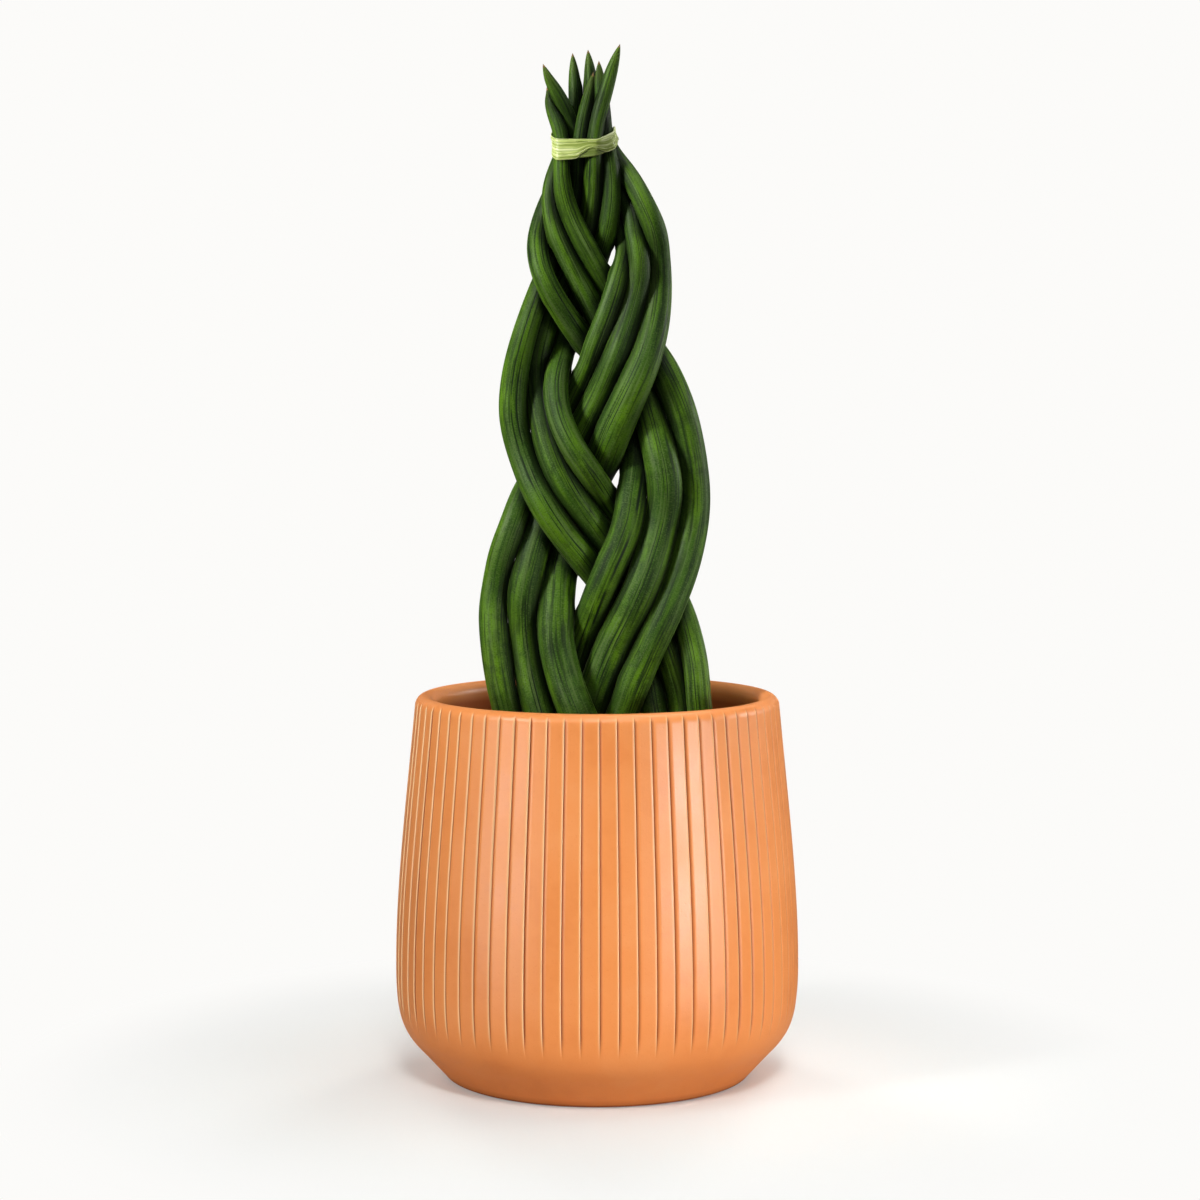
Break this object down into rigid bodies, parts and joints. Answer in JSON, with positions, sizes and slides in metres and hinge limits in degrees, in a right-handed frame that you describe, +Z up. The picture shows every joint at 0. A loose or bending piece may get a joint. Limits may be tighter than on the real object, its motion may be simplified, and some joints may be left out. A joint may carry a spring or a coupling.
{
  "type": "potted braided cylindrical snake plant",
  "caption": "Potted cylindrical snake plant with rod-shaped pointed leaves in a flat three-strand braid, tied near the top, in a fluted clay pot with a rounded lip.",
  "frame": {"origin": "on the floor at the middle of the pot's foot", "axes": "+Z up along the plant, +X across the width of the flat braid to the right as seen from the front, -Y towards the front"},
  "size_m": [0.2206, 0.2206, 0.5566],
  "materials": {
    "pot": "matte",
    "potting_mix": "matte",
    "leaf": "satin",
    "tie_band": "satin"
  },
  "bodies": {
    "root": {"pot": "pot", "potting_mix": "potting_mix", "leaf_p1": "leaf", "leaf_p2": "leaf", "leaf_p3": "leaf", "leaf_q1": "leaf", "leaf_q2": "leaf", "leaf_q3": "leaf", "leaf_r1": "leaf", "leaf_r2": "leaf", "leaf_r3": "leaf", "tie_band": "tie_band"}
  },
  "joints": []
}
